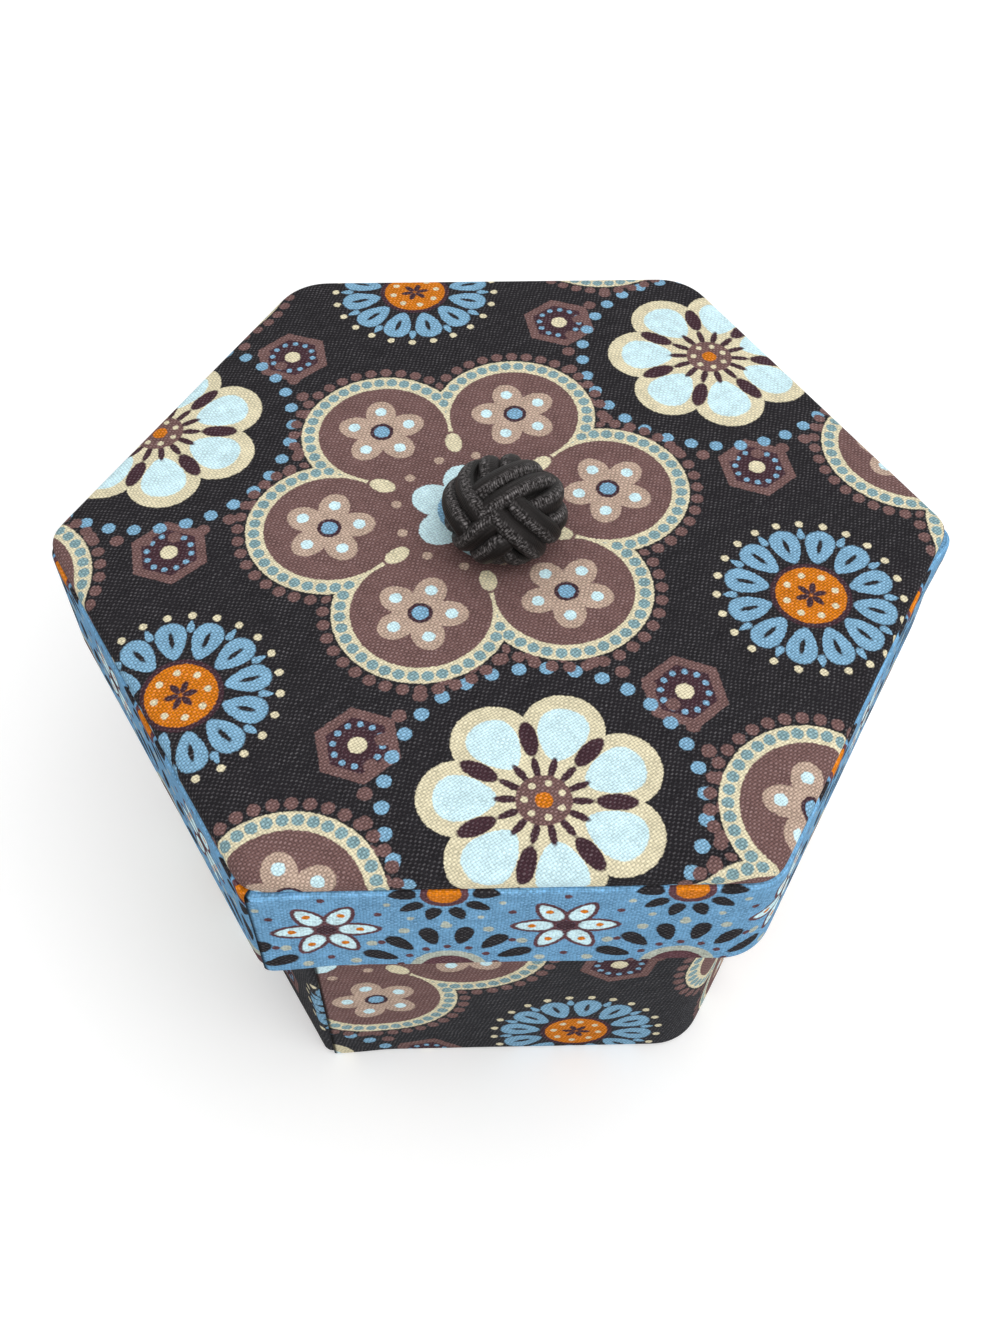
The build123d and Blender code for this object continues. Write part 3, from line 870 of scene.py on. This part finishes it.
topEdge = padEdge(topPad, ((0.02, 0.7), (0.08, 0.25), (0.35, 0.03), (1.5, 0)))
topPiece, topHeld = padMesh("topPad", panelShape, topPad["rings"], topEdge, topHeight, topCloth, "lid",
                            ["top_cover", "top_wadding"], "dark_print")
heldPoints = [vertex.index for vertex in topPiece.data.vertices
              if vertex.index >= topHeld + 6 * topPad["rings"] * topPad["freeRows"]
              or hypot(vertex.co.x / mm - cordHole[0], vertex.co.y / mm - cordHole[1]) < topPad["tied"]]
puff(topPiece, heldPoints, topPad)
smooth(topPiece)
print("top panel made")

floorPad = {"rings": 32, "crest": 5.35, "round": 1.1, "foot": 2.75, "inset": 3.55, "freeRows": 4,
            "cap": 0.35, "frames": 12}


def floorHeight(share, point):
    return floorPad["crest"] + 0.08 * noise.noise(point * 0.12)


floorEdge = padEdge(floorPad, ((0, 0.65), (0.1, 0.2), (0.5, 0), (3, 0)))
floorPiece, floorHeld = padMesh("floorPad", insetShape(wallShape, floorPad["inset"]), floorPad["rings"], floorEdge,
                                floorHeight, liningCloth, "box", ["floor_lining", "floor_wadding"], "lining_cloth")
puff(floorPiece, [vertex.index for vertex in floorPiece.data.vertices
                  if vertex.index >= floorHeld + 6 * floorPad["rings"] * floorPad["freeRows"]], floorPad)
smooth(floorPiece)
print("floor pad made")

# The lined card inside the lid, facing down, and the sheet under the box
ceiling = {"inset": 4.05, "low": 62.1, "high": 63.4, "rings": 30, "ripple": 0.03}


def ceilingHeight(share, point):
    return ceiling["low"] + ceiling["ripple"] * (1 + noise.noise(point * 0.1))


ceilingEdge = [(inset, ceiling["low"] + rise) for inset, rise in ((0.5, 0), (0.22, 0.08), (0.08, 0.22), (0, 0.5))]
padMesh("lidCeiling", insetShape(lidShape, ceiling["inset"]), ceiling["rings"], ceilingEdge + [(0, ceiling["high"])],
        ceilingHeight, liningCloth, "lid", ["lid_lining"], "lining_cloth", facesDown=True)
base = {"inset": 3.0, "rings": 24, "edge": [(0.2, 0.0), (0.05, 0.06), (0, 0.2), (0.1, 0.35), (9, 0.38)]}
padMesh("baseSheet", insetShape(wallShape, base["inset"]), base["rings"], base["edge"], lambda share, point: 0.0,
        wallCloth, "box", ["base_sheet"], "dark_print", facesDown=True)
strip = {"rows": 16, "proud": 0.05, "ripple": 0.05, "thickness": 0.28}


def stripInside(name, shape, inset, bottom, top, body, replaced):
    # a lining strip seen from the middle of the box
    stations = stationsOf()
    levels = [bottom + (top - bottom) * step / strip["rows"] for step in range(strip["rows"] + 1)]
    points, flats = [], []
    for sector, run, _, travelled in walk(shape, inset, stations):
        for height in levels:
            ripple = strip["ripple"] * noise.noise(Vector((travelled * 0.08, height * 0.08, inset)))
            point, _ = outline(shape, inset - strip["proud"] + ripple, sector, run)
            points.append(point + Vector((0, 0, height)))
            flats.append((travelled, height))
    count = len(levels)
    faces = [(place * count + row, (place + 1) % len(stations) * count + row,
              (place + 1) % len(stations) * count + row + 1, place * count + row + 1)
             for place in range(len(stations)) for row in range(count - 1)]
    piece = buildObject(name, points, reversedFaces(faces), flats, liningCloth, body, replaced, "lining_cloth")
    thicken(piece, strip["thickness"])


stripInside("wallLining", wallShape, 3.25, 2.7, 59.1, "box", ["wall_lining"])
stripInside("rimLining", lidShape, 3.75, 49.0, 63.4, "lid", ["rim_lining"])
print("inside made")


# The knotted button: one cord led twice round a knot of three leads and four bights

knot = {"place": (0.5, -1.75, 74.35), "width": 16.8, "height": 12.5, "cordWidth": 3.15, "cordDepth": 2.6,
        "swing": 1.22, "dip": 1.6, "rise": 0.3, "lane": 2.85, "turn": radians(20), "pole": (-0.28, -0.65, 0.70),
        "steps": 620, "round": 16}
core = {"share": 0.83, "rows": 18, "columns": 32, "sweep": 3.0, "rough": 0.05}
tails = {"apart": 1.35, "down": (71.5, 70, 68, 66, 64.4), "radius": 1.2,
         "flat": 63.05, "along": (0.3, 3, 6, 9, 12, 15.4), "halfWidth": 1.75, "halfDepth": 0.36}
knotTilt = Vector((0, 0, 1)).rotation_difference(Vector(knot["pole"])).to_matrix()
knotTilt = knotTilt @ Matrix.Rotation(knot["turn"], 3, "Z")


def eased(share):
    return share * share * (3 - 2 * share)


def ballPoint(rise, around, wide, high):
    return Vector((cos(rise) * cos(around) * wide, cos(rise) * sin(around) * wide, sin(rise) * high))


def knotPoint(turn):
    # where the band's middle runs on the ball, and the way out of the ball there
    wide = (knot["width"] - knot["cordDepth"]) / 2
    high = (knot["height"] - knot["cordDepth"]) / 2
    out = knotTilt @ ballPoint(atan(tan(knot["swing"]) * cos(turn)), 0.75 * turn, 1, 1)
    normal = Vector((out.x / wide, out.y / wide, out.z / high)).normalized()
    under = min(1.0, 1.3 * max(0.0, sin(2 * turn)))
    depth = knot["dip"] * eased(under) - knot["rise"] * max(0.0, -sin(2 * turn))
    return Vector((out.x * wide, out.y * wide, out.z * high)) - normal * depth, normal


def leadCord():
    # the cord goes round the knot twice, moving from one lane to the next at the bottom
    centre, facing, count = [], [], knot["steps"] * 2
    for step in range(count + 1):
        turn = pi + 16 * pi * step / count
        here, normal = knotPoint(turn)
        along = knotPoint(turn + 0.01)[0] - here
        lane = knot["lane"] * (eased(min(1.0, max(0.0, turn - 9 * pi + 0.5))) - 0.5)
        centre.append(here + normal.cross(along).normalized() * lane)
        facing.append(normal)
    return centre, facing


def addTube(points, facings, halfWidth, halfDepth, verts, faces, flats):
    # a closed tube of cord; its flats run along it and once round it
    shift, rows, travelled = len(verts), knot["round"] + 1, 0.0
    for place, point in enumerate(points):
        along = (points[min(place + 1, len(points) - 1)] - points[max(place - 1, 0)]).normalized()
        sideways = facings[place].cross(along).normalized()
        outwards = along.cross(sideways).normalized()
        if place:
            travelled += (point - points[place - 1]).length
        for step in range(rows):
            angle = 2 * pi * step / knot["round"]
            verts.append(point + sideways * halfWidth * cos(angle) + outwards * halfDepth * sin(angle))
            flats.append((travelled, step / knot["round"]))
    for start in range(shift, shift + (len(points) - 1) * rows, rows):
        faces += [(start + step, start + rows + step, start + rows + step + 1, start + step + 1)
                  for step in range(knot["round"])]
    end = shift + (len(points) - 1) * rows
    faces.append(tuple(range(shift, shift + knot["round"])))
    faces.append(tuple(reversed(range(end, end + knot["round"]))))


def addCore(verts, faces, flats):
    # the turns inside the knot, which close its gaps
    shift, columns = len(verts), core["columns"]
    for row in range(core["rows"] + 1):
        rise = (row / core["rows"] - 0.5) * core["sweep"]
        for column in range(columns):
            out = ballPoint(rise, 2 * pi * column / columns, knot["width"], knot["height"]) * core["share"] / 2
            verts.append(out * (1 + core["rough"] * noise.noise(out * 0.5)))
            # the flats lie part way round the cord, so the core takes some of the cord's painted shade, darker on every
            # other row
            flats.append((column * 1.5, 0.33 + 0.1 * (row % 2)))
    for low in range(shift, shift + core["rows"] * columns, columns):
        faces += [(low + column, low + (column + 1) % columns,
                   low + columns + (column + 1) % columns, low + columns + column) for column in range(columns)]
    top = shift + core["rows"] * columns
    faces.append(tuple(reversed(range(shift, shift + columns))))
    faces.append(tuple(range(top, top + columns)))


def makeKnot():
    verts, faces, flats = [], [], []
    addTube(*leadCord(), knot["cordWidth"] / 2, knot["cordDepth"] / 2, verts, faces, flats)
    addCore(verts, faces, flats)
    verts = [vert + Vector(knot["place"]) for vert in verts]
    x, y = cordHole
    for side in (-1, 1):  # the tails, down through the lid and flat under its board
        route = [Vector((x + side * tails["apart"], y, height)) for height in tails["down"]]
        addTube(route, [Vector((side, 0, 0))] * len(route), tails["radius"], tails["radius"], verts, faces, flats)
        route = [Vector((x + side * along, y, tails["flat"])) for along in tails["along"]]
        addTube(route, [Vector((0, 0, 1))] * len(route), tails["halfWidth"], tails["halfDepth"], verts, faces, flats)
    buildObject("braidedKnot", verts, faces, flats, cordMaterial, "lid", ["button_knot"], "braided_cord")


makeKnot()
print("knot made")


# Boards, card and paper keep their own shapes

boards = ("bottom_board", "wall_strip", "floor_card", "lid_lining_card", "lid_board", "rim_strip", "top_card")
papers = ("wall_joint_tape", "tail_patch", "rim_joint_tape")
for nodes, material in ((boards, boardMaterial), (papers, tapeMaterial)):
    for node in nodes:
        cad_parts[node].data.materials.clear()
        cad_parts[node].data.materials.append(material)


# Floor and lights

studio = {"floor": (0.90, 0.90, 0.895, 1), "grain": (0.885, 0.885, 0.88, 1), "grainScale": 3.0, "size": 3.0,
          "sunk": 0.0001, "sky": 0.60, "glow": 0.23, "far": (0.15, 0.9), "aim": (0, 0, 0.05)}


def makeFloor():
    size = studio["size"]
    mesh = bpy.data.meshes.new("floor")
    mesh.from_pydata([(-size, -size, 0), (size, -size, 0), (size, size, 0), (-size, size, 0)], [], [(0, 1, 2, 3)])
    material, tree, shader = newMaterial("pale floor", 0.8)
    place = objectVector(tree)
    grain = noiseAt(place, studio["grainScale"])
    plug(over(studio["floor"], studio["grain"], grain), shader.inputs["Base Color"])
    shader.inputs["Emission Color"].default_value = (1, 1, 1, 1)
    glow = lengthOf(place).part(*studio["far"]) * (1 - studio["glow"]) + studio["glow"]  # white far off
    plug(made(tree, "LightPath", output="Is Camera Ray") * glow, shader.inputs["Emission Strength"])
    mesh.materials.append(material)
    floor = bpy.data.objects.new("floor", mesh)
    floor.location.z = -studio["sunk"]
    scene.collection.objects.link(floor)


def makeSky():
    # a soft sky that is plain white where it is seen
    world = bpy.data.worlds.new("studio")
    world.use_nodes = True
    scene.world = world
    tree = world.node_tree
    back = tree.nodes["Background"]
    back.inputs["Color"].default_value = (1, 1, 1, 1)
    seen = made(tree, "LightPath", output="Is Camera Ray")
    rays = seen.socket.node.outputs
    for ray in ("Is Glossy Ray", "Is Transmission Ray"):
        seen = seen.math("MAXIMUM", Signal(tree, rays[ray]))
    plug(seen * (1 - studio["sky"]) + studio["sky"], back.inputs["Strength"])


def addLamp(name, place, size, power):
    lamp = bpy.data.lights.new(name, "AREA")
    lamp.size, lamp.energy = size, power
    holder = bpy.data.objects.new(name, lamp)
    holder.location = place
    holder.rotation_euler = (Vector(studio["aim"]) - Vector(place)).to_track_quat("-Z", "Y").to_euler()
    scene.collection.objects.link(holder)


makeFloor()
makeSky()
addLamp("softKey", (0.34, -0.36, 0.80), 1.0, 5.6)
addLamp("softFill", (0.10, 0.50, 0.75), 0.8, 1.2)
print("studio made")
